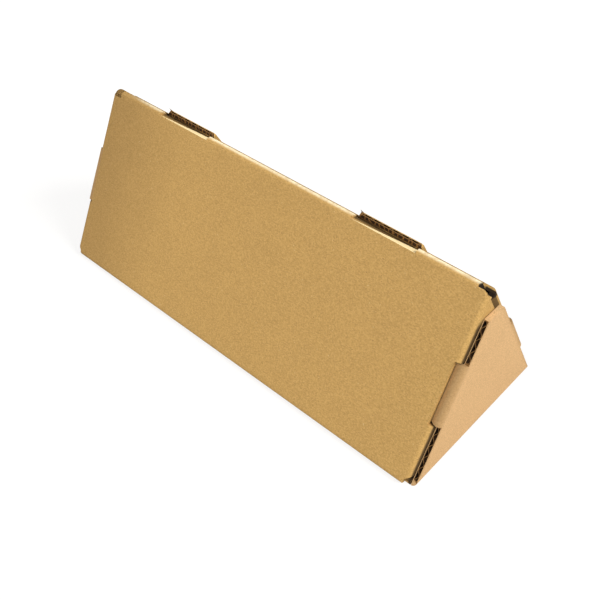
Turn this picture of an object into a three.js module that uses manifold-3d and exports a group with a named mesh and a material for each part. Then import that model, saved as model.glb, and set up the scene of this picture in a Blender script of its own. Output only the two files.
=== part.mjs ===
// Triangular mailing tube: a long three-sided carton folded from one die-cut sheet of corrugated board.
//
// Frame: millimetres, +Z up, X along the tube, origin on the table under the middle of the tube.
// The tube lies on its base panel. The front panel faces -Y and folds over the ridge into a tuck flap
// that lies inside the back panel. Two tabs on the back panel's top edge stand up through slots in the
// ridge fold. The front and back panels have folded dust flaps at both ends. The base has an end flap
// at each end, which closes over the dust flaps and locks with a tucked tab on each sloping side.
// The flutes run across the tube, so an edge that crosses them shows the open waves of the board.

import * as THREE from 'three';
import { mergeVertices } from 'three/addons/utils/BufferGeometryUtils.js';
import Module from 'manifold-3d';

// Board
const BOARD = 3; // thickness of the corrugated board
const LINER = 0.4; // thickness of each flat facing sheet
const MEDIUM = 0.35; // thickness of the fluted sheet between them
const FLUTE_PITCH = 6.35; // one full wave of the fluted sheet
const FLUTE_DEPTH = 5; // how far the flutes are open behind a cut edge
const FLUTE_STEPS = 8; // straight pieces in one wave
const FLUTE_WALL = 0.5; // board left closed at the ends of an open edge
const FOLD_STEPS = 6; // straight pieces in the rounded outside of a fold
const PLAY = 0.3; // gap between faces that lie on each other

// Section of the tube
const BASE_WIDTH = 125; // base panel, outside, from fold to fold
const SLOPE = THREE.MathUtils.degToRad(61.1); // front and back panels against the base
const BACK_TOP_DROP = 15.8; // back panel's top edge, below the ridge along its slope
const BACK_EAR_RISE = 4.1; // the ends of that edge stand up by this
const BACK_EAR_LENGTH = 9; // and are this long

// Length
const PANEL_LENGTH = 293; // front panel, over the folds to its dust flaps
const BACK_SETBACK = 2; // the back panel ends this far inside each end of the front panel
const CORNER_RELIEF = 3.7; // the folds along the base stop this far short of the panel's ends
const CORNER_START = 5.3; // the front and back panels' ends start this far up the slope
const CORNER_CHAMFER = 3.6; // height of the chamfer on those corners

// Tuck flap behind the ridge
const TUCK_DEPTH = 40; // ridge to free edge
const TUCK_INSET = 8; // its sides, from the ends of the front panel
const TUCK_CORNER = 12; // lower corners cut away
const TUCK_EAR = 11; // top strip that keeps nearly the full length
const EAR_INSET = 1; // ends of that strip, from the ends of the front panel
const RIDGE_NOTCH_LENGTH = 8; // notch in the front panel's top corners, along the ridge
const RIDGE_NOTCH_FOOT = 2.2; // distance of its foot from the panel's end
const RIDGE_NOTCH_DROP = 6.6; // and down the slope

// Ridge locks
const SLOT_OFFSET = 46; // from each end of the front panel to the nearer end of a slot
const SLOT_LENGTH = 43.5; // along the ridge
const SLOT_DROP = 4.7; // slot's lower edge, below the ridge
const TAB_GAP = 0.7; // tab to each end of its slot
const TAB_RISE = 9.6; // tab's top, above the back panel's top edge
const TAB_CORNER = 1.2; // bevel on its corners
const TAB_CRUSH = 3.5; // height of the crushed tip
const TAB_TIP = 1.6; // thickness left at the tip

// Dust flaps
const FRONT_DUST_DEPTH = 34; // from the panel's outer face to the free edge
const BACK_DUST_DEPTH = 30;
const BACK_DUST_LEAN = THREE.MathUtils.degToRad(12); // the back pair leans in under the front pair
const DUST_TOP_GAP = 8.5; // top edge to the opposite panel's outer face
const DUST_FLOOR_GAP = 1.5; // lower edge to the base panel's inner face

// End flaps, with the lock tabs on their sloping sides
const FLAP_INSET = 4.8; // sloping edges, inside the outer faces of the front and back panels
const FLAP_TOP_WIDTH = 14; // cut-off top of the flap
const NOTCH_DROP = 45; // upper end of the panel's notch, below the ridge
const NOTCH_LENGTH = 38.7; // along the slope
const NOTCH_DEPTH = 12.5; // how far the notch runs on into the dust flap
const LOCK_GAP = 0.7; // lock tab to each end of its notch
const LOCK_OVERFOLD = THREE.MathUtils.degToRad(32); // fold of the tab past a right angle
const LOCK_REACH = 13; // fold to tip
const LOCK_TAPER = 3; // narrowing of the tip at each side

// Worked out from those
const COS = Math.cos(SLOPE);
const SIN = Math.sin(SLOPE);
const APEX = Math.PI - 2 * SLOPE;
const HALF_BASE = BASE_WIDTH / 2;
const HALF_LENGTH = PANEL_LENGTH / 2;
const APEX_V = HALF_BASE / COS; // where the two outer faces would meet, up the slope from the base fold
const RIDGE_V = APEX_V - (BOARD + PLAY) / Math.sin(APEX); // ridge, up the front panel
const RIDGE_BACK_V = APEX_V - (APEX_V - RIDGE_V) * Math.cos(APEX); // ridge, up the back panel
const BASE_FOLD = BOARD / Math.tan(SLOPE / 2); // straight board starts this far from a base fold's corner
const RIDGE_FOLD = BOARD / Math.tan(APEX / 2); // and from the ridge's corner
const BACK_TOP = RIDGE_BACK_V - BACK_TOP_DROP;
const TAB_TOP = BACK_TOP + TAB_RISE;
const EAR_FLOOR = RIDGE_BACK_V - TUCK_EAR;
const TUCK_FACE = BOARD + PLAY; // tuck flap's outer face, in from the back panel's outer face
const NOTCH_HIGH = RIDGE_V - NOTCH_DROP;
const NOTCH_LOW = NOTCH_HIGH - NOTCH_LENGTH;
const FLAP_INNER = HALF_LENGTH + PLAY;
const FLAP_OUTER = FLAP_INNER + BOARD;
const LAP = 1; // overlap of neighbouring stretches of the same board
const PAST = 20; // how far a cut reaches beyond the board
const SKIN = 0.05; // small overlap that keeps joined faces from only touching

const wasm = await Module();
wasm.setup();

// Solids from outlines

function toSolid(geometry) {
  geometry.deleteAttribute('normal');
  geometry.deleteAttribute('uv');
  const merged = mergeVertices(geometry, 1e-4);
  return new wasm.Manifold(new wasm.Mesh({
    numProp: 3,
    vertProperties: new Float32Array(merged.attributes.position.array),
    triVerts: new Uint32Array(merged.index.array),
  }));
}

function toMesh(name, solid, color) {
  const { vertProperties, triVerts } = solid.getMesh();
  const geometry = new THREE.BufferGeometry();
  geometry.setAttribute('position', new THREE.BufferAttribute(vertProperties, 3));
  geometry.setIndex(new THREE.BufferAttribute(triVerts, 1));
  geometry.computeVertexNormals();
  const material = new THREE.MeshStandardMaterial({ color, roughness: 0.9, metalness: 0 });
  const mesh = new THREE.Mesh(geometry, material);
  mesh.name = name;
  return mesh;
}

const X = new THREE.Vector3(1, 0, 0);
const Y = new THREE.Vector3(0, 1, 0);
const Z = new THREE.Vector3(0, 0, 1);
const ROOM = new THREE.Matrix4();

// An outline of [a, b] points, extruded between two places along the third axis of a frame.
function extrude(points, [first, second, along], from, to, frame) {
  const shape = new THREE.Shape(points.map(([a, b]) => new THREE.Vector2(a, b)));
  const geometry = new THREE.ExtrudeGeometry(shape, { depth: to - from, bevelEnabled: false });
  geometry.translate(0, 0, from);
  geometry.applyMatrix4(new THREE.Matrix4().makeBasis(first, second, along));
  geometry.applyMatrix4(frame);
  return toSolid(geometry);
}

// Outline of [depth, up] points, run along the tube.
const alongTube = (points, from, to, frame = ROOM) => extrude(points, [Y, Z, X], from, to, frame);

// Outline of [up, length] points, run through the board's depth.
const throughBoard = (points, from, to, frame = ROOM) => extrude(points, [Z, X, Y], from, to, frame);

// Outline of [length, depth] points, run up the slope.
const upSlope = (points, from, to, frame = ROOM) => extrude(points, [X, Y, Z], from, to, frame);

function union(solids) {
  return solids.reduce((whole, solid) => whole.add(solid));
}

function rectangle(a0, b0, a1, b1) {
  return [[a0, b0], [a1, b0], [a1, b1], [a0, b1]];
}

// A panel's own frame: x along the tube, y into the board from its outer face, z up the slope from the
// base fold. The back panel's x runs the other way.
function panelFrame(side) {
  const frame = new THREE.Matrix4().makeBasis(
    new THREE.Vector3(-side, 0, 0),
    new THREE.Vector3(0, -side * SIN, -COS),
    new THREE.Vector3(0, -side * COS, SIN),
  );
  return frame.setPosition(0, side * HALF_BASE, 0);
}

const FRONT = panelFrame(-1);
const BACK = panelFrame(1);

// The same places in the section across the tube, as [y, z].
function inSection(side, depth, up) {
  return [side * (HALF_BASE - up * COS - depth * SIN), up * SIN - depth * COS];
}

// Board

// Folded board seen edge on. The path follows the outer face with the inner face on its right. The
// inside of a fold stays sharp, and the outside is rounded about it by the board's thickness.
function foldedBoard(path) {
  const corners = path.map(([a, b]) => new THREE.Vector2(a, b));
  const inward = corners.slice(1).map((corner, i) => {
    const run = corner.clone().sub(corners[i]).normalize();
    return new THREE.Vector2(run.y, -run.x);
  });
  const last = corners.length - 1;
  const outer = [corners[0]];
  const inner = [corners[0].clone().addScaledVector(inward[0], BOARD)];
  for (let i = 1; i < last; i += 1) {
    const before = inward[i - 1];
    const after = inward[i];
    const crease = before.clone().add(after).multiplyScalar(BOARD / (1 + before.dot(after))).add(corners[i]);
    const start = Math.atan2(-before.y, -before.x);
    const turn = Math.atan2(before.cross(after), before.dot(after));
    for (let step = 0; step <= FOLD_STEPS; step += 1) {
      const angle = start + (turn * step) / FOLD_STEPS;
      outer.push(new THREE.Vector2(Math.cos(angle), Math.sin(angle)).multiplyScalar(BOARD).add(crease));
    }
    inner.push(crease);
  }
  outer.push(corners[last]);
  inner.push(corners[last].clone().addScaledVector(inward[last - 1], BOARD));
  return [...outer, ...inner.reverse()].map((point) => [point.x, point.y]);
}

// The fluted sheet seen end on, as [along, depth] points: a ribbon that waves between the facings.
function flutedRibbon(from, to, outerFace) {
  const swing = (BOARD - MEDIUM) / 2 - LINER + SKIN;
  const first = Math.floor((from / FLUTE_PITCH) * FLUTE_STEPS);
  const last = Math.ceil((to / FLUTE_PITCH) * FLUTE_STEPS);
  const over = [];
  const under = [];
  for (let step = first; step <= last; step += 1) {
    const along = (step * FLUTE_PITCH) / FLUTE_STEPS;
    const middle = outerFace + BOARD / 2 + swing * Math.cos((2 * Math.PI * step) / FLUTE_STEPS);
    over.push([along, middle + MEDIUM / 2]);
    under.unshift([along, middle - MEDIUM / 2]);
  }
  return [...over, ...under];
}

// Opens the flutes of an edge that runs along the tube, in a panel's frame. The profile is the hollow
// between the facings as [depth, up] points, and the edge is at the given height up the slope.
function openTopEdge(solid, frame, from, to, edge, profile) {
  const hollow = alongTube(profile, from + FLUTE_WALL, to - FLUTE_WALL, frame);
  const ribbon = upSlope(flutedRibbon(from, to, 0), edge - FLUTE_DEPTH - SKIN, edge, frame);
  const within = alongTube(rectangle(0, edge - PAST, BOARD, edge), from + SKIN, to - SKIN, frame);
  return solid.subtract(hollow).add(ribbon.intersect(within).intersect(solid));
}

// Wrap: base, front, back and tuck flap with their dust flaps

function makeBase() {
  const reach = HALF_LENGTH - CORNER_RELIEF;
  const start = inSection(1, 0, BASE_FOLD + LAP);
  const finish = inSection(-1, 0, BASE_FOLD + LAP);
  const folds = alongTube(foldedBoard([start, [HALF_BASE, 0], [-HALF_BASE, 0], finish]), -reach, reach);
  const half = HALF_BASE - FLAP_INSET / SIN;
  const plate = alongTube(rectangle(-half, 0, half, BOARD), -HALF_LENGTH, HALF_LENGTH);
  return folds.add(plate);
}

// Front or back panel, with the dust flaps at both of its ends
function makePanel(frame, setback, dustDepth, lean, top) {
  const end = HALF_LENGTH - setback;
  const tip = end - dustDepth * Math.tan(lean);
  const path = [[tip, dustDepth], [end, 0], [-end, 0], [-tip, dustDepth]];
  const folded = upSlope(foldedBoard(path), CORNER_START, top, frame);
  const foot = (depth) => (BOARD + DUST_FLOOR_GAP + depth * COS) / SIN;
  const head = (depth) => APEX_V - (DUST_TOP_GAP + depth * Math.cos(APEX)) / Math.sin(APEX);
  const deep = dustDepth + PAST;
  const outline = alongTube([
    [-PAST, CORNER_START - LAP],
    [BOARD, CORNER_START - LAP],
    [BOARD, foot(BOARD)],
    [deep, foot(deep)],
    [deep, head(deep)],
    [BOARD, head(BOARD)],
    [BOARD, top + LAP],
    [-PAST, top + LAP],
  ], -HALF_LENGTH - PAST, HALF_LENGTH + PAST, frame);
  const chamfer = CORNER_START + (CORNER_CHAMFER * (CORNER_RELIEF + 1)) / CORNER_RELIEF;
  const ends = throughBoard([
    [CORNER_START - LAP, end - CORNER_RELIEF],
    [CORNER_START, end - CORNER_RELIEF],
    [chamfer, end + 1],
    [top + LAP, end + 1],
    [top + LAP, -end - 1],
    [chamfer, -end - 1],
    [CORNER_START, -end + CORNER_RELIEF],
    [CORNER_START - LAP, -end + CORNER_RELIEF],
  ], -PAST, deep, frame);
  return folded.intersect(outline).intersect(ends).subtract(makeNotches(frame, end, lean));
}

// Notches in a panel's end folds, which run on into the dust flaps and take the lock tabs
function makeNotches(frame, end, lean) {
  const behind = (depth) => end - depth * Math.tan(lean) - BOARD / Math.cos(lean) - SKIN;
  const right = [
    [behind(BOARD), -1],
    [end + 1, -1],
    [end + 1, NOTCH_DEPTH],
    [behind(NOTCH_DEPTH), NOTCH_DEPTH],
    [behind(BOARD), BOARD],
  ];
  const left = right.map(([x, depth]) => [-x, depth]).reverse();
  return upSlope(right, NOTCH_LOW, NOTCH_HIGH, frame).add(upSlope(left, NOTCH_LOW, NOTCH_HIGH, frame));
}

function makeFront() {
  return makePanel(FRONT, 0, FRONT_DUST_DEPTH, 0, RIDGE_V - RIDGE_FOLD);
}

// The ridge fold with the tuck flap, less the notches in the front panel's corners and the lock slots
function makeRidge() {
  const start = inSection(-1, 0, RIDGE_V - RIDGE_FOLD - LAP);
  const corner = inSection(-1, 0, RIDGE_V);
  const earEdge = inSection(1, TUCK_FACE, EAR_FLOOR);
  const reach = HALF_LENGTH - EAR_INSET;
  const fold = alongTube(foldedBoard([start, corner, earEdge]), -reach, reach);
  const side = HALF_LENGTH - TUCK_INSET;
  const edge = RIDGE_BACK_V - TUCK_DEPTH;
  const flap = throughBoard([
    [edge, TUCK_CORNER - side],
    [edge + TUCK_CORNER, -side],
    [EAR_FLOOR + LAP, -side],
    [EAR_FLOOR + LAP, side],
    [edge + TUCK_CORNER, side],
    [edge, side - TUCK_CORNER],
  ], TUCK_FACE, TUCK_FACE + BOARD, BACK);
  return fold.add(flap);
}

function makeRidgeNotches() {
  const foot = RIDGE_V - RIDGE_NOTCH_DROP;
  const right = [
    [foot, HALF_LENGTH - RIDGE_NOTCH_FOOT],
    [foot, HALF_LENGTH + 1],
    [RIDGE_V + 1, HALF_LENGTH + 1],
    [RIDGE_V + 1, HALF_LENGTH - RIDGE_NOTCH_LENGTH],
    [RIDGE_V, HALF_LENGTH - RIDGE_NOTCH_LENGTH],
  ];
  const left = right.map(([up, x]) => [up, -x]).reverse();
  return throughBoard(right, -1, BOARD + SKIN, FRONT).add(throughBoard(left, -1, BOARD + SKIN, FRONT));
}

// The two ridge slots, as [from, to] along the tube
const SLOTS = [
  [SLOT_OFFSET - HALF_LENGTH, SLOT_OFFSET + SLOT_LENGTH - HALF_LENGTH],
  [HALF_LENGTH - SLOT_OFFSET - SLOT_LENGTH, HALF_LENGTH - SLOT_OFFSET],
];

function makeSlotCut([from, to]) {
  return alongTube(rectangle(-PAST, RIDGE_V - SLOT_DROP, PAST, RIDGE_V + PAST), from, to, FRONT);
}

function makeTab([slotFrom, slotTo]) {
  const from = slotFrom + TAB_GAP;
  const to = slotTo - TAB_GAP;
  const shoulder = TAB_TOP - TAB_CRUSH;
  const profile = [[0, BACK_TOP - LAP], [BOARD, BACK_TOP - LAP], [BOARD, shoulder], [TAB_TIP, TAB_TOP], [0, TAB_TOP]];
  const bevelled = throughBoard([
    [BACK_TOP - PAST, from],
    [TAB_TOP - TAB_CORNER, from],
    [TAB_TOP, from + TAB_CORNER],
    [TAB_TOP, to - TAB_CORNER],
    [TAB_TOP - TAB_CORNER, to],
    [BACK_TOP - PAST, to],
  ], -1, BOARD + 1, BACK);
  const tab = alongTube(profile, from - 1, to + 1, BACK).intersect(bevelled);
  const hollow = [
    [LINER, TAB_TOP - FLUTE_DEPTH],
    [BOARD - LINER, TAB_TOP - FLUTE_DEPTH],
    [BOARD - LINER, shoulder],
    [TAB_TIP - LINER, TAB_TOP],
    [TAB_TIP - LINER, TAB_TOP + 1],
    [LINER, TAB_TOP + 1],
  ];
  return openTopEdge(tab, BACK, from + TAB_CORNER, to - TAB_CORNER, TAB_TOP, hollow);
}

// The back panel with raised ends, and open flutes along its top edge on both sides of each tab
function makeBack() {
  const end = HALF_LENGTH - BACK_SETBACK;
  const inside = end - BACK_EAR_LENGTH;
  const panel = makePanel(BACK, BACK_SETBACK, BACK_DUST_DEPTH, BACK_DUST_LEAN, BACK_TOP + BACK_EAR_RISE);
  const lowered = panel.subtract(alongTube(rectangle(-1, BACK_TOP, BOARD + 1, BACK_TOP + PAST), -inside, inside, BACK));
  const hollow = rectangle(LINER, BACK_TOP - FLUTE_DEPTH, BOARD - LINER, BACK_TOP + 1);
  const tabInner = SLOTS[1][0];
  const tabOuter = SLOTS[1][1];
  const stretches = [[-inside, -tabOuter], [-tabInner, tabInner], [tabOuter, inside]];
  const opened = stretches.reduce(
    (solid, [from, to]) => openTopEdge(solid, BACK, from, to, BACK_TOP, hollow),
    lowered,
  );
  return union([opened, ...SLOTS.map(makeTab)]);
}

function makeWrap() {
  const slotted = SLOTS.reduce((solid, slot) => solid.subtract(makeSlotCut(slot)), makeRidge());
  const front = makeFront().add(slotted).subtract(makeRidgeNotches());
  return union([makeBase(), front, makeBack()]);
}

// End flap, closed over the right end of the wrap

// Half the flap's width, at a height above the table
function flapHalf(z) {
  return (APEX_V * SIN - z) / Math.tan(SLOPE) - FLAP_INSET / SIN;
}

const FLAP_TOP = APEX_V * SIN - (FLAP_TOP_WIDTH / 2 + FLAP_INSET / SIN) * Math.tan(SLOPE);

// Height above the table of a place on the flap's sloping edge, from its distance up the panel
function edgeHeight(up) {
  return up * SIN - FLAP_INSET * COS;
}

function makeFlapPlate() {
  const fold = [];
  for (let step = 0; step <= FOLD_STEPS; step += 1) {
    const angle = (Math.PI / 2) * (step / FOLD_STEPS);
    fold.push([BOARD - BOARD * Math.cos(angle), FLAP_INNER + BOARD * Math.sin(angle)]);
  }
  const section = [...fold, [FLAP_TOP, FLAP_OUTER], [FLAP_TOP, FLAP_INNER]];
  const slab = throughBoard(section, -BASE_WIDTH, BASE_WIDTH);
  const outline = alongTube([
    [-flapHalf(-1), -1],
    [flapHalf(-1), -1],
    [flapHalf(FLAP_TOP), FLAP_TOP],
    [-flapHalf(FLAP_TOP), FLAP_TOP],
  ], FLAP_INNER - 1, FLAP_OUTER + 1);
  return slab.intersect(outline);
}

// Opens the flutes of a stretch of one sloping edge
function openSlopingEdge(plate, side, low, high) {
  const edge = (z, inset) => [side * (flapHalf(z) - inset), z];
  const hollow = alongTube([
    edge(low, FLUTE_DEPTH),
    edge(low, -1),
    edge(high, -1),
    edge(high, FLUTE_DEPTH),
  ], FLAP_INNER + LINER, FLAP_OUTER - LINER);
  const within = alongTube([
    edge(low - SKIN, FLUTE_DEPTH + SKIN),
    edge(low - SKIN, 0),
    edge(high + SKIN, 0),
    edge(high + SKIN, FLUTE_DEPTH + SKIN),
  ], FLAP_INNER, FLAP_OUTER);
  const ribbon = throughBoard(flutedRibbon(low - FLUTE_PITCH, high + FLUTE_PITCH, FLAP_INNER), -BASE_WIDTH, BASE_WIDTH);
  return plate.subtract(hollow).add(ribbon.intersect(within));
}

// Lock tab, folded over from the flap's sloping edge and tucked in through the panel's notch
function makeLockTab(frame, side) {
  const spread = (BOARD * Math.cos(LOCK_OVERFOLD)) / (1 - Math.sin(LOCK_OVERFOLD));
  const reach = spread + LOCK_REACH;
  const corner = FLAP_INSET - spread;
  const tip = FLAP_OUTER - reach * Math.cos(LOCK_OVERFOLD);
  const path = [
    [FLAP_OUTER, FLAP_INSET + LAP],
    [FLAP_OUTER, corner],
    [tip, corner + reach * Math.sin(LOCK_OVERFOLD)],
  ];
  const board = foldedBoard(path).map(([x, depth]) => [side * x, depth]);
  const low = NOTCH_LOW + LOCK_GAP;
  const high = NOTCH_HIGH - LOCK_GAP;
  const folded = upSlope(side > 0 ? board : board.reverse(), low, high, frame);
  const taper = [
    [low, FLAP_OUTER + 1],
    [low, FLAP_INNER],
    [low + LOCK_TAPER, tip],
    [low + LOCK_TAPER, tip - BOARD],
    [high - LOCK_TAPER, tip - BOARD],
    [high - LOCK_TAPER, tip],
    [high, FLAP_INNER],
    [high, FLAP_OUTER + 1],
  ].map(([up, x]) => [up, side * x]);
  return folded.intersect(throughBoard(side > 0 ? taper : taper.reverse(), -PAST, PAST, frame));
}

function makeEndFlap() {
  const stretches = [
    [BOARD + FLUTE_WALL, edgeHeight(NOTCH_LOW) - FLUTE_WALL],
    [edgeHeight(NOTCH_HIGH) + FLUTE_WALL, FLAP_TOP - FLUTE_WALL],
  ];
  let plate = makeFlapPlate();
  for (const [low, high] of stretches) {
    plate = openSlopingEdge(plate, -1, low, high);
    plate = openSlopingEdge(plate, 1, low, high);
  }
  return union([plate, makeLockTab(FRONT, 1), makeLockTab(BACK, -1)]);
}

const rightFlap = makeEndFlap();
const leftFlap = rightFlap.rotate([0, 0, 180]);

const tube = new THREE.Group();
tube.name = 'triangular_mailing_tube';
tube.add(toMesh('tube_wrap', makeWrap(), 0xbe965a));
tube.add(toMesh('right_end_flap', rightFlap, 0xd2aa76));
tube.add(toMesh('left_end_flap', leftFlap, 0xd2aa76));

export default tube;
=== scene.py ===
"""Triangular mailing tube of corrugated board: its looks, stage, light and camera."""

import math

import bmesh
import bpy
from mathutils import Matrix, Vector


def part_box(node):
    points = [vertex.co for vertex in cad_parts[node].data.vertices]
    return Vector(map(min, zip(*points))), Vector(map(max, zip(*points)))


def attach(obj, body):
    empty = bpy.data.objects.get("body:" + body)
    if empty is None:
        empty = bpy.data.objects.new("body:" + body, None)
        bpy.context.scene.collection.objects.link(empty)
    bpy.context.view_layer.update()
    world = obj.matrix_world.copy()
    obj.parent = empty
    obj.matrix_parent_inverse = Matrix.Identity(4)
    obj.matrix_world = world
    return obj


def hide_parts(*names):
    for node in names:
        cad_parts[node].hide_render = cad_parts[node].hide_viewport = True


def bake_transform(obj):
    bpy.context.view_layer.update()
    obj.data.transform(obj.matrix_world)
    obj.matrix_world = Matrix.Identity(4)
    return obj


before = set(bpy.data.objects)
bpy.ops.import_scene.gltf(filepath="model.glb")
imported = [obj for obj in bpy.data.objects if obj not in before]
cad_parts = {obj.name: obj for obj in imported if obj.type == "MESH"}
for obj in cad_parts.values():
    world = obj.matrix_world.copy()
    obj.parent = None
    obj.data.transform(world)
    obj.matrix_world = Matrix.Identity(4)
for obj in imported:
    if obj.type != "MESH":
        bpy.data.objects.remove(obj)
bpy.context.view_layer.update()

bl_info = {
    "name": "Triangular mailing tube",
    "version": (1, 0, 0),
    "blender": (4, 5, 0),
    "location": "3D View > Sidebar > Mailing tube",
    "description": "Builds the looks of a triangular mailing tube on its CAD frame",
    "category": "Object",
}

MM = 0.001  # metres in a millimetre
BOARD = 3.0  # board thickness, mm
LINER = 0.4  # facing sheet, mm
FLUTE_PITCH = 6.35  # from one wave of the fluted sheet to the next, mm
SLOPE = math.radians(61.1)  # front and back panels against the base
HALF_BASE = 62.5  # mm
PAST_END = 150.0  # just past the end of the tube, from its middle, mm

APEX = math.pi - 2 * SLOPE  # angle between the front and back panels
APEX_UP = HALF_BASE / math.cos(SLOPE)  # where their outer faces would meet, up the slope, mm
RIDGE_UP = APEX_UP - 3.3 / math.sin(APEX)  # ridge, up the front panel from the base fold, mm
# Back panel's top edge, up its own slope, mm
BACK_TOP = APEX_UP - (APEX_UP - RIDGE_UP) * math.cos(APEX) - 15.8
BACK_OPEN_TO = 135.4  # its flutes are open as far as this from the middle of the tube, mm
TUCK_END = 138.45  # the tuck flap behind the ridge ends here, from the middle of the tube, mm

TAB_TOP = BACK_TOP + 9.6  # top of the ridge tabs, mm
TAB_CRUSH = 3.5  # height of the tabs' crushed tips, mm
TAB_FROM, TAB_TO = 58.2, 99.3  # insides of the ridge tabs, from the middle of the tube, mm
SLOT_EDGE = RIDGE_UP - 4.7  # lower edge of the ridge slots, up the front panel, mm
FLUTE_DEPTH = 5.0  # how far the flutes are open behind an edge, mm

FLAP_INSET = 4.8  # an end flap's sloping edges, inside the outer faces, mm
FLAP_HALF_FOOT = HALF_BASE - FLAP_INSET / math.sin(SLOPE)  # half its width at the table, mm
FLAP_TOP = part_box("right_end_flap")[1][2] / MM  # cut-off top of the end flaps, mm
FLAP_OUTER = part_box("right_end_flap")[1][0] / MM  # their outer faces, from the middle, mm

ARC_STEPS = 8  # flats that a rolled sheet is made of


def linear(value):
    """One sRGB channel, 0 to 1, as linear light."""
    if value <= 0.04045:
        return value / 12.92
    return ((value + 0.055) / 1.055) ** 2.4


def colour(hex_text):
    """An sRGB hex colour as a linear RGBA tuple."""
    channels = [int(hex_text[i:i + 2], 16) / 255 for i in (0, 2, 4)]
    return tuple(linear(channel) for channel in channels) + (1.0,)


def on_front(x, depth, up):
    """A place on the front panel, in metres, from mm along, in from the face and up the slope."""
    y = -HALF_BASE + up * math.cos(SLOPE) + depth * math.sin(SLOPE)
    z = up * math.sin(SLOPE) - depth * math.cos(SLOPE)
    return Vector((x, y, z)) * MM


def on_back(x, depth, up):
    """The same for the back panel, with x still along the tube."""
    y = HALF_BASE - up * math.cos(SLOPE) - depth * math.sin(SLOPE)
    z = up * math.sin(SLOPE) - depth * math.cos(SLOPE)
    return Vector((x, y, z)) * MM


# Node materials

MIX_UNDER, MIX_OVER, MIX_RESULT = 6, 7, 2  # colour sockets of a Mix node


def add_node(tree, kind, inputs=None, **settings):
    """Adds one shader node, with its settings and its inputs: values, or other nodes' sockets."""
    node = tree.nodes.new(kind)
    for name, value in settings.items():
        setattr(node, name, value)
    for key, value in (inputs or {}).items():
        if isinstance(value, bpy.types.NodeSocket):
            tree.links.new(value, node.inputs[key])
        else:
            node.inputs[key].default_value = value
    return node


def place_in_mm(tree):
    """Where a point of the piece lies, in millimetres."""
    place = add_node(tree, "ShaderNodeTexCoord").outputs["Object"]
    return add_node(tree, "ShaderNodeVectorMath", {
        0: place, 1: (1 / MM,) * 3,
    }, operation="MULTIPLY").outputs[0]


def up_the_slope(tree, mm, side):
    """Height up the front panel (1) or the back panel (-1), in mm from the middle of the base."""
    return add_node(tree, "ShaderNodeVectorMath", {
        0: mm, 1: (0.0, side * math.cos(SLOPE), math.sin(SLOPE)),
    }, operation="DOT_PRODUCT").outputs["Value"]


def pulp(tree, mm, per_mm, detail, stretch=(1.0, 1.0, 1.0)):
    """An uneven pattern, such as pulp dries in, with so many features to the millimetre."""
    scaled = add_node(tree, "ShaderNodeMapping", {"Vector": mm, "Scale": stretch})
    return add_node(tree, "ShaderNodeTexNoise", {
        "Vector": scaled.outputs[0], "Scale": per_mm, "Detail": detail,
    }).outputs["Fac"]


def where(tree, share, *limits):
    """A mask that reaches the share where every measure is past its limits, (measure, off, on)."""
    mask = share
    for measure, off, on in limits:
        past = add_node(tree, "ShaderNodeMapRange", {
            "Value": measure, "From Min": off, "From Max": on,
        }, interpolation_type="SMOOTHSTEP")
        mask = add_node(tree, "ShaderNodeMath", {
            0: past.outputs[0], 1: mask,
        }, operation="MULTIPLY").outputs[0]
    return mask


def layered(tree, shade, *layers):
    """The shade with each layer, (mask, colour), laid over it in turn."""
    for mask, over in layers:
        mix = add_node(tree, "ShaderNodeMix", {
            "Factor": mask, MIX_UNDER: shade, MIX_OVER: over,
        }, data_type="RGBA")
        shade = mix.outputs[MIX_RESULT]
    return shade


def flap_margin(tree, parts):
    """How far inside an end flap's nearer sloping edge a place is, in mm."""
    half_width = add_node(tree, "ShaderNodeMath", {
        0: parts.outputs["Z"], 1: -1 / math.tan(SLOPE), 2: FLAP_HALF_FOOT,
    }, operation="MULTIPLY_ADD")
    across = add_node(tree, "ShaderNodeMath", {0: parts.outputs["Y"]}, operation="ABSOLUTE")
    return add_node(tree, "ShaderNodeMath", {
        0: half_width.outputs[0], 1: across.outputs[0],
    }, operation="SUBTRACT").outputs[0]


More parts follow.
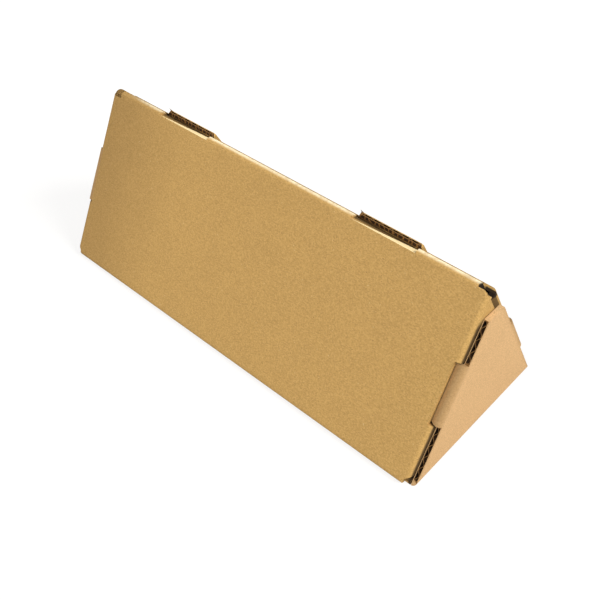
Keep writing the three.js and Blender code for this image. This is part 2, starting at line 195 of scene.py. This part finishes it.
def kraft(name, base):
    """Kraft liner, rolled from recycled pulp: matt, mottled brown with dark and pale specks.

    Returns the material, its place in mm and its shade, which the wear is then laid over.
    """
    material = plain(name, base, roughness=0.82, specular=0.25)
    tree = material.node_tree
    mm = place_in_mm(tree)

    mottle = pulp(tree, mm, 0.9, 4.0)
    fibre = pulp(tree, mm, 1.6, 3.0, (0.5, 1.0, 1.0))
    bark = pulp(tree, mm, 0.9, 1.0)
    fleck = pulp(tree, mm, 0.75, 2.0, (1.0, 1.3, 0.8))
    dark = tuple(channel * 0.72 for channel in base[:3]) + (1.0,)
    pale = tuple(min(1.0, channel * 1.2 + 0.02) for channel in base[:3]) + (1.0,)
    shade = layered(
        tree, base,
        (where(tree, 0.16, (pulp(tree, mm, 0.05, 3.0), 0.36, 0.64)), dark),
        (where(tree, 0.62, (mottle, 0.4, 0.64)), pale),
        (where(tree, 0.62, (fibre, 0.48, 0.66)), dark),
        (where(tree, 0.5, (bark, 0.70, 0.76)), colour("6b4a25")),
        (where(tree, 0.4, (fleck, 0.70, 0.77)), colour("e6cf9e")),
    )

    # The flutes show through as faint washboard lines, over the paper's own roughness
    x = add_node(tree, "ShaderNodeSeparateXYZ", {0: mm}).outputs["X"]
    turn = add_node(tree, "ShaderNodeMath", {
        0: x, 1: 2 * math.pi / FLUTE_PITCH,
    }, operation="MULTIPLY")
    height = add_node(tree, "ShaderNodeMath", {0: turn.outputs[0]}, operation="SINE").outputs[0]
    for pattern, factor, under in ((height, 0.05, mottle), (fibre, 0.5, None)):
        height = add_node(tree, "ShaderNodeMath", {
            0: pattern, 1: factor, 2: under or height,
        }, operation="MULTIPLY_ADD").outputs[0]
    bump = add_node(tree, "ShaderNodeBump", {
        "Strength": 0.25, "Distance": 0.12 * MM, "Height": height,
    })
    tree.links.new(bump.outputs[0], tree.nodes["Principled BSDF"].inputs["Normal"])
    return material, mm, shade


def wrap_liner(base, worn_and_highlit):
    """The wrap's liner: wear and a painted highlight along the ridge fold, and painted shade
    inside the tube, in the open right end of the ridge and beside the end flaps.
    """
    material, mm, shade = kraft("kraft_liner_wrap", base)
    tree = material.node_tree
    parts = add_node(tree, "ShaderNodeSeparateXYZ", {0: mm})
    x, y, z = (parts.outputs[axis] for axis in "XYZ")
    along = add_node(tree, "ShaderNodeMath", {0: x}, operation="ABSOLUTE").outputs[0]
    margin = flap_margin(tree, parts)
    # Depth behind the nearer outer face
    depth = add_node(tree, "ShaderNodeMath", {
        0: margin, 1: math.sin(SLOPE), 2: FLAP_INSET,
    }, operation="MULTIPLY_ADD").outputs[0]
    before_end = (146.4, 146.3)  # the outer faces at the ends of the tube take no inside shade

    # The left end of the ridge fold is closed, so it has no inside to shade
    closed = where(tree, 1.0, (x, -138.2, -138.4), (z, 96.0, 97.0))
    # Painted shade: the inner faces of the tube turn dark brown
    inside = where(
        tree, 0.72,
        (depth, 2.6, 2.9), (z, 1.0, 2.0), (z, 104.8, 103.6),
        (along, *before_end), (closed, 1.0, 0.0),
    )
    # Painted shade, nearly black, in the open right end of the ridge
    hole_shade = where(
        tree, 0.96,
        (x, 136.5, 138.0), (depth, 0.9, 1.6), (z, 93.0, 94.5), (x, *before_end), (y, -3.2, -2.4),
    )
    # Painted shadow, nearly black, on the end folds beside each end flap's sloping edges, below
    # the flaps' tops
    gap_shadow = where(tree, 0.88, (along, 144.2, 145.8), (margin, -4.4, -2.4), (z, 93.0, 86.0))

    # Pale band along the ridge fold on its front side, partly wear and partly a painted highlight,
    # fading out near the left end
    uneven = add_node(tree, "ShaderNodeMapRange", {
        "Value": pulp(tree, mm, 0.35, 3.0), "From Min": 0.3, "From Max": 0.6, "To Min": 0.55,
    }, interpolation_type="SMOOTHSTEP").outputs[0]
    ridge = RIDGE_UP - HALF_BASE * math.cos(SLOPE)
    scuffed_and_highlit = where(
        tree, uneven,
        (up_the_slope(tree, mm, 1), ridge - 3.8, ridge - 2.2), (y, 1.8, 1.4), (x, -136.0, -112.0),
    )
    shade = layered(
        tree, shade,
        (inside, colour("3a2612")),
        (hole_shade, colour("1a1008")),
        (gap_shadow, colour("2a1b0e")),
        (scuffed_and_highlit, worn_and_highlit),
        (where(tree, 0.30, (x, -60.0, -150.0)), colour("5a4226")),  # duller towards the left end
    )
    tree.links.new(shade, tree.nodes["Principled BSDF"].inputs["Base Color"])
    return material


def flap_liner(base):
    """An end flap's liner, with painted shade where the lock tabs roll over its sloping edges."""
    material, mm, shade = kraft("kraft_liner_flap", base)
    tree = material.node_tree
    margin = flap_margin(tree, add_node(tree, "ShaderNodeSeparateXYZ", {0: mm}))
    # Painted shade on the lock tabs, where they roll over the sloping edges
    shade = layered(tree, shade, (where(tree, 0.55, (margin, 2.5, -3.4)), colour("7c5f33")))
    tree.links.new(shade, tree.nodes["Principled BSDF"].inputs["Base Color"])
    return material


def crushed(name, dark, leg):
    """Crushed tip of a tab: the fluted sheet's waves show as dark and brown bars, the dark ones
    painted shade in its hollows, over a brown band of painted shade below them.
    """
    material = plain(name, dark)
    tree = material.node_tree
    mm = place_in_mm(tree)
    x = add_node(tree, "ShaderNodeSeparateXYZ", {0: mm}).outputs["X"]
    wobble = add_node(tree, "ShaderNodeMath", {
        0: pulp(tree, mm, 0.25, 2.0), 1: 9.0,
    }, operation="MULTIPLY")
    turn = add_node(tree, "ShaderNodeMath", {
        0: x, 1: 4 * math.pi / FLUTE_PITCH, 2: wobble.outputs[0],
    }, operation="MULTIPLY_ADD")
    wave = add_node(tree, "ShaderNodeMath", {0: turn.outputs[0]}, operation="SINE").outputs[0]
    foot = TAB_TOP - HALF_BASE * math.cos(SLOPE) - 2.3
    # Dark bars of painted shade between the waves' brown legs, and below them a brown band of
    # painted shade
    shade = layered(
        tree, dark,
        (where(tree, 1.0, (wave, 0.5, 0.95)), leg),
        (where(tree, 1.0, (up_the_slope(tree, mm, -1), foot + 0.4, foot)), colour("6a4b28")),
    )
    tree.links.new(shade, tree.nodes["Principled BSDF"].inputs["Base Color"])
    return material


def plain(name, base, roughness=0.9, specular=0.2):
    """Raw paper, cut or torn: matt, in one colour."""
    material = bpy.data.materials.new(name)
    material.use_nodes = True
    shader = material.node_tree.nodes["Principled BSDF"]
    shader.inputs["Base Color"].default_value = base
    shader.inputs["Roughness"].default_value = roughness
    shader.inputs["Specular IOR Level"].default_value = specular
    return material


# Pieces

def new_object(name, mesh, *materials):
    piece = bpy.data.objects.new(name, mesh)
    bpy.context.scene.collection.objects.link(piece)
    for material in materials:
        mesh.materials.append(material)
    return piece


def section_place(point):
    """A place in mm as its depth and height up the slope, on the front and on the back panel."""
    places = []
    for side in (-1, 1):
        inward = HALF_BASE - side * point.y
        places.append((
            inward * math.sin(SLOPE) - point.z * math.cos(SLOPE),
            inward * math.cos(SLOPE) + point.z * math.sin(SLOPE),
        ))
    return places


# Faces in the flute slot show the fluted sheet, darkened as painted shade in its hollows
LINER_FACE, FLUTE, MEDIUM_EDGE, CRUSHED, RAW_EDGE_HIGHLIGHT = range(5)  # material slots of a board piece


def wrap_surface(point):
    """Which material a face of the wrap takes, from its middle in mm."""
    along = abs(point.x)
    (front_depth, front_up), (back_depth, back_up) = section_place(point)
    on_tab = TAB_FROM < along < TAB_TO
    # The slots' lower cut edges, painted pale cream as a highlight
    if on_tab and abs(front_up - SLOT_EDGE) < 0.05 and -0.1 < front_depth < BOARD + 0.1:
        return RAW_EDGE_HIGHLIGHT
    if not LINER - 0.1 < back_depth < BOARD - LINER + 0.1 or along > BACK_OPEN_TO:
        return LINER_FACE
    edge = TAB_TOP if on_tab else BACK_TOP
    if abs(back_up - edge) < 0.02:
        return MEDIUM_EDGE
    if on_tab and edge - TAB_CRUSH < back_up < edge - 0.02 and back_depth > 1.6:
        return CRUSHED
    return FLUTE if edge - FLUTE_DEPTH - 0.1 < back_up < edge else LINER_FACE


def flap_surface(point):
    """The same for an end flap."""
    depth = abs(point.x) - FLAP_OUTER + BOARD
    margin = FLAP_HALF_FOOT - point.z / math.tan(SLOPE) - abs(point.y)
    between_liners = LINER - 0.05 < depth < BOARD - LINER + 0.05
    if not between_liners or not BOARD < point.z < FLAP_TOP - 0.1:
        return LINER_FACE
    if abs(margin) < 0.02:
        return MEDIUM_EDGE
    return FLUTE if 0.02 < margin < FLUTE_DEPTH + 0.1 else LINER_FACE


def board_piece(name, node, sharp_angle, surface, materials):
    """A piece with the node's shape, welded, with smooth folds and crisp edges."""
    bm = bmesh.new()
    bm.from_mesh(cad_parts[node].data)
    bmesh.ops.remove_doubles(bm, verts=bm.verts, dist=0.004 * MM)
    bmesh.ops.dissolve_degenerate(bm, dist=0.002 * MM, edges=bm.edges)
    for face in bm.faces:
        face.smooth = True
        face.material_index = surface(face.calc_center_median() / MM)
    for edge in bm.edges:
        edge.smooth = edge.calc_face_angle(math.pi) < sharp_angle
    mesh = bpy.data.meshes.new(name)
    bm.to_mesh(mesh)
    bm.free()
    return new_object(name, mesh, *materials)


def back_block(x_range, depth_range, up_range):
    """A block in the back panel's frame, for cutting with, from its ranges in mm."""
    (depth0, depth1), (up0, up1) = depth_range, up_range
    section = ((depth0, up0), (depth1, up0), (depth1, up1), (depth0, up1))
    bm = bmesh.new()
    near, far = ([bm.verts.new(on_back(x, depth, up)) for depth, up in section] for x in x_range)
    bm.faces.new(near)
    bm.faces.new(far)
    for i in range(4):
        j = (i + 1) % 4
        bm.faces.new((near[i], near[j], far[j], far[i]))
    bmesh.ops.recalc_face_normals(bm, faces=bm.faces)
    mesh = bpy.data.meshes.new("block")
    bm.to_mesh(mesh)
    bm.free()
    return new_object("block", mesh)


def cut_away(piece, blocks):
    """Cuts blocks from a piece and removes them."""
    for block in blocks:
        cut = piece.modifiers.new("cut", "BOOLEAN")
        cut.operation = "DIFFERENCE"
        cut.solver = "EXACT"
        cut.object = block
    shaped = piece.evaluated_get(bpy.context.evaluated_depsgraph_get())
    mesh = bpy.data.meshes.new_from_object(shaped)
    piece.modifiers.clear()
    piece.data = mesh
    for block in blocks:
        bpy.data.objects.remove(block)


PAPER_CREASE = math.radians(40)  # a sheet that turns by more than this has a crisp edge


def ribbon_sheet(name, rows, thickness, material):
    """A paper sheet through rows of points, with a front and a back side.

    The grid has no normals yet, so solidify leaves both sides in one place.
    """
    bm = bmesh.new()
    bmesh.ops.create_grid(bm, x_segments=len(rows[0]) - 1, y_segments=len(rows) - 1)
    for vert, point in zip(bm.verts, (point for row in rows for point in row)):
        vert.co = point
    bmesh.ops.solidify(bm, geom=bm.faces[:], thickness=thickness)
    bmesh.ops.recalc_face_normals(bm, faces=bm.faces)
    for face in bm.faces:
        face.smooth = True
    for edge in bm.edges:
        edge.smooth = edge.calc_face_angle(math.pi) < PAPER_CREASE
    mesh = bpy.data.meshes.new(name)
    bm.to_mesh(mesh)
    bm.free()
    return new_object(name, mesh, material)


class TubeSettings(bpy.types.PropertyGroup):
    """What a user would change about the board."""

    board_colour: bpy.props.FloatVectorProperty(
        name="Board colour", description="Outer liner of the wrap, linear light",
        subtype="COLOR", size=4, min=0, max=1, default=colour("bb9659"),
    )
    flap_colour: bpy.props.FloatVectorProperty(
        name="Flap colour", description="Outer liner of the end flaps, linear light",
        subtype="COLOR", size=4, min=0, max=1, default=colour("d0aa7a"),
    )
    # Pale colour of the ridge fold: its wear, and a painted highlight along the fold
    ridge_wear_and_highlight_colour: bpy.props.FloatVectorProperty(
        name="Worn fold colour", description="Liner where the ridge fold is stretched and scuffed",
        subtype="COLOR", size=4, min=0, max=1, default=colour("fff0cc"),
    )
    # The fluted sheet's colour, darkened as painted shade in the flute hollows
    shaded_flute_colour: bpy.props.FloatVectorProperty(
        name="Flute colour", description="Fluted sheet and the hollows beside it, linear light",
        subtype="COLOR", size=4, min=0, max=1, default=colour("3d2917"),
    )
    sharp_angle: bpy.props.FloatProperty(
        name="Sharp edge angle", description="Edges that turn by more than this stay crisp",
        subtype="ANGLE", default=math.radians(32), min=0, max=math.pi,
    )


class TUBE_OT_wrap(bpy.types.Operator):
    """Builds the wrap: base, front, back and dust flaps"""

    bl_idname = "mailing_tube.wrap"
    bl_label = "Wrap"

    def execute(self, context):
        settings = context.scene.mailing_tube
        materials = (
            wrap_liner(tuple(settings.board_colour), tuple(settings.ridge_wear_and_highlight_colour)),
            # The fluted sheet, darkened as painted shade in its hollows
            plain("fluting_medium_shaded_wrap", tuple(settings.shaded_flute_colour)),
            plain("medium_edge_wrap", colour("7d5c35")),
            crushed("crushed_tab_shaded", colour("33210f"), colour("8a6436")),
            # The slots' cut edges, painted pale cream as a highlight
            plain("raw_edge_highlight", colour("ffe8b4")),
        )
        piece = board_piece(
            "wrap_board", "tube_wrap", settings.sharp_angle, wrap_surface, materials,
        )
        # The back panel's corners are level with its top edge, and the ridge is open at both ends
        in_board, above_back = (-1.0, BOARD + 0.15), (BACK_TOP, 123.0)
        in_tuck, above_tuck = (BOARD + 0.1, 2 * BOARD + 0.9), (BACK_TOP, 135.0)
        cut_away(piece, (
            back_block((BACK_OPEN_TO, PAST_END), in_board, above_back),
            back_block((-PAST_END, -BACK_OPEN_TO), in_board, above_back),
            back_block((TUCK_END, PAST_END), in_tuck, above_tuck),
            back_block((-PAST_END, -TUCK_END), in_tuck, above_tuck),
        ))
        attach(piece, "wrap")
        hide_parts("tube_wrap")
        return {"FINISHED"}


class TUBE_OT_left_corner(bpy.types.Operator):
    """Builds the left end of the ridge fold, which closes round to the panel's corner"""

    bl_idname = "mailing_tube.left_corner"
    bl_label = "Left ridge corner"

    def execute(self, context):
        inner_end, outer_end = -138.3, -144.0  # along the tube, mm
        crease_depth, crease_up = BOARD, RIDGE_UP - BOARD / math.tan(APEX / 2)
        # Depth, height up the front panel and outer end of each row, from the foot round the fold
        outline = [(0.0, RIDGE_UP - 7.2, outer_end - 0.6), (0.0, crease_up, outer_end)]
        for step in range(1, ARC_STEPS + 1):
            angle = (math.pi - APEX) * step / ARC_STEPS
            outline.append((
                crease_depth - BOARD * math.cos(angle),
                crease_up + BOARD * math.sin(angle),
                outer_end + 0.2 * step,
            ))
        rows = [
            [on_front(inner_end, depth, up), on_front(end, depth, up)]
            for depth, up, end in outline
        ]
        liner = bpy.data.materials["kraft_liner_wrap"]
        piece = ribbon_sheet("left_ridge_corner", rows, -2 * LINER * MM, liner)
        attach(piece, "wrap")
        return {"FINISHED"}


class TUBE_OT_end_flaps(bpy.types.Operator):
    """Builds the two end flaps with their lock tabs"""

    bl_idname = "mailing_tube.end_flaps"
    bl_label = "End flaps"

    def execute(self, context):
        settings = context.scene.mailing_tube
        materials = (
            flap_liner(tuple(settings.flap_colour)),
            # The flap's fluted sheet, darkened as painted shade in its hollows
            plain("fluting_medium_shaded_flap", tuple(settings.shaded_flute_colour)),
            plain("medium_edge_flap", colour("7d5c35")),
        )
        for side in ("right", "left"):
            piece = board_piece(
                f"{side}_flap_board", f"{side}_end_flap", settings.sharp_angle,
                flap_surface, materials,
            )
            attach(piece, f"{side}_flap")
            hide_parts(f"{side}_end_flap")
        return {"FINISHED"}


class TUBE_OT_creases(bpy.types.Operator):
    """Builds the creased outer liner that joins each end flap to the base"""

    bl_idname = "mailing_tube.creases"
    bl_label = "End creases"

    def execute(self, context):
        material = plain("kraft_liner_crease", colour("c79a64"))
        outer = FLAP_OUTER
        stations = (-56.0, -20.0, 20.0, 56.0)  # across the tube, mm
        lift = 0.15  # of the sheet's inner side above the table, mm
        radius = BOARD - lift
        for side, name in ((1, "right"), (-1, "left")):
            # From under the base, round the fold, to the foot of the flap
            section = [(outer - BOARD - 2.0, lift)]
            for step in range(ARC_STEPS + 1):
                angle = math.radians(90) * step / ARC_STEPS
                section.append((
                    outer - BOARD + radius * math.sin(angle), BOARD - radius * math.cos(angle),
                ))
            rows = [[Vector((side * x, y, z)) * MM for y in stations] for x, z in section]
            piece = ribbon_sheet(f"{name}_crease", rows, 0.12 * MM, material)
            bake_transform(piece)
        return {"FINISHED"}


class TUBE_OT_frays(bpy.types.Operator):
    """Builds the lifted and frayed bits of liner beside the ridge tabs"""

    bl_idname = "mailing_tube.frays"
    bl_label = "Frayed liner"

    def execute(self, context):
        material = plain("torn_liner", colour("8f6b3f"))
        # Liner lifted from the left corner of each tab: where it starts, how long, how high
        lifted = (("left_tab_fray", -99.6, 6.0, 1.5), ("right_tab_fray", 57.9, 4.0, 1.9))
        for name, start, length, rise in lifted:
            rows = []
            steps = 6
            for step in range(steps + 1):
                share = step / steps
                lift = rise * (1 - share) ** 2
                x = start + length * share
                rows.append([
                    on_back(x, 0.1, TAB_TOP - 2.6),
                    on_back(x, 0.1 - 0.2 * lift, TAB_TOP - 0.1 + lift),
                ])
            piece = ribbon_sheet(name, rows, LINER / 2 * MM, material)
            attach(piece, "wrap")
        return {"FINISHED"}


# Stage: white floor, soft light from above and from both sides, and the photograph's camera

CAMERA_AZIMUTH = math.radians(44.02)
CAMERA_ELEVATION = math.radians(44.72)
CAMERA_ROLL = math.radians(-2.05)
CAMERA_DISTANCE = 0.5565  # m
CAMERA_OFFSET = (0.00941, 0.00225)  # across the picture and up it, m
CAMERA_LENS = 50.26  # mm

WORLD_STRENGTH = 0.42
FLOOR_GLOW = 0.74  # share of the floor's white that no shadow darkens
SUNS = (  # name, direction that it is seen in, energy, width in degrees
    ("window", (0.78, 0.30, 0.62), 2.5, 30),
    ("room", (0.15, -0.72, 0.68), 1.9, 60),
)


def camera_matrix():
    """Where the photograph was taken from, in metres."""
    turn, tip = CAMERA_AZIMUTH, CAMERA_ELEVATION
    back = Vector((math.sin(turn) * math.cos(tip), -math.cos(turn) * math.cos(tip), math.sin(tip)))
    right = (-back).cross(Vector((0, 0, 1))).normalized()
    up = right.cross(-back)
    across = math.cos(CAMERA_ROLL) * right + math.sin(CAMERA_ROLL) * up
    over = -math.sin(CAMERA_ROLL) * right + math.cos(CAMERA_ROLL) * up
    matrix = Matrix((across, over, back)).transposed().to_4x4()
    matrix.translation = (
        back * CAMERA_DISTANCE + CAMERA_OFFSET[0] * across + CAMERA_OFFSET[1] * over
    )
    return matrix


def floor_material():
    """White paper floor: seen as white by the camera, but it keeps the object's shadow."""
    material = bpy.data.materials.new("white_floor")
    material.use_nodes = True
    tree = material.node_tree
    tree.nodes.remove(tree.nodes["Principled BSDF"])
    paper = add_node(tree, "ShaderNodeBsdfDiffuse", {"Color": colour("b0aca6")})
    seen_paper = add_node(tree, "ShaderNodeBsdfDiffuse", {"Color": colour("ffffff")})
    glow = add_node(tree, "ShaderNodeEmission", {"Color": colour("ffffff"), "Strength": 1.0})
    white = add_node(tree, "ShaderNodeMixShader", {
        0: FLOOR_GLOW, 1: seen_paper.outputs[0], 2: glow.outputs[0],
    })
    seen = add_node(tree, "ShaderNodeLightPath").outputs["Is Camera Ray"]
    shown = add_node(tree, "ShaderNodeMixShader", {
        0: seen, 1: paper.outputs[0], 2: white.outputs[0],
    })
    tree.links.new(shown.outputs[0], tree.nodes["Material Output"].inputs["Surface"])
    return material


def add_sun(name, towards, energy, width):
    """A distant lamp, seen from the object in the given direction and so many degrees across."""
    lamp = bpy.data.lights.new(name, "SUN")
    lamp.energy = energy
    lamp.angle = math.radians(width)
    lamp.color = (1.0, 0.98, 0.94)
    sun = bpy.data.objects.new(name, lamp)
    bpy.context.scene.collection.objects.link(sun)
    sun.rotation_euler = Vector(towards).to_track_quat("Z", "Y").to_euler()


class TUBE_OT_stage(bpy.types.Operator):
    """Sets the floor, the light and the camera"""

    bl_idname = "mailing_tube.stage"
    bl_label = "Stage"

    def execute(self, context):
        scene = context.scene
        bm = bmesh.new()
        bmesh.ops.create_grid(bm, x_segments=1, y_segments=1, size=3.0)
        mesh = bpy.data.meshes.new("floor")
        bm.to_mesh(mesh)
        bm.free()
        floor = new_object("floor", mesh, floor_material())

        world = bpy.data.worlds.new("white_room")
        world.use_nodes = True
        background = world.node_tree.nodes["Background"]
        background.inputs["Color"].default_value = (1.0, 0.985, 0.96, 1.0)
        background.inputs["Strength"].default_value = WORLD_STRENGTH
        scene.world = world
        for sun in SUNS:
            add_sun(*sun)

        lens = bpy.data.cameras.new("camera")
        lens.lens = CAMERA_LENS
        lens.sensor_width = 36
        lens.clip_start = 0.01
        camera = bpy.data.objects.new("camera", lens)
        scene.collection.objects.link(camera)
        camera.matrix_world = camera_matrix()
        scene.camera = camera

        scene.view_settings.view_transform = "Standard"
        return {"FINISHED"}


class TUBE_PT_panel(bpy.types.Panel):
    """Lists the tube's settings and the operators that build it"""

    bl_idname = "TUBE_PT_panel"
    bl_label = "Mailing tube"
    bl_space_type = "VIEW_3D"
    bl_region_type = "UI"
    bl_category = "Mailing tube"

    def draw(self, context):
        settings = context.scene.mailing_tube
        for name in TubeSettings.__annotations__:
            self.layout.prop(settings, name)
        for operator in OPERATORS:
            self.layout.operator(operator.bl_idname)


OPERATORS = (
    TUBE_OT_wrap, TUBE_OT_left_corner, TUBE_OT_end_flaps,
    TUBE_OT_creases, TUBE_OT_frays, TUBE_OT_stage,
)
CLASSES = (TubeSettings, *OPERATORS, TUBE_PT_panel)


def register():
    for item in CLASSES:
        bpy.utils.register_class(item)
    bpy.types.Scene.mailing_tube = bpy.props.PointerProperty(type=TubeSettings)


def unregister():
    del bpy.types.Scene.mailing_tube
    for item in reversed(CLASSES):
        bpy.utils.unregister_class(item)


def main():
    register()
    for operator in OPERATORS:
        group, name = operator.bl_idname.split(".")
        getattr(getattr(bpy.ops, group), name)()


if __name__ == "__main__":
    main()
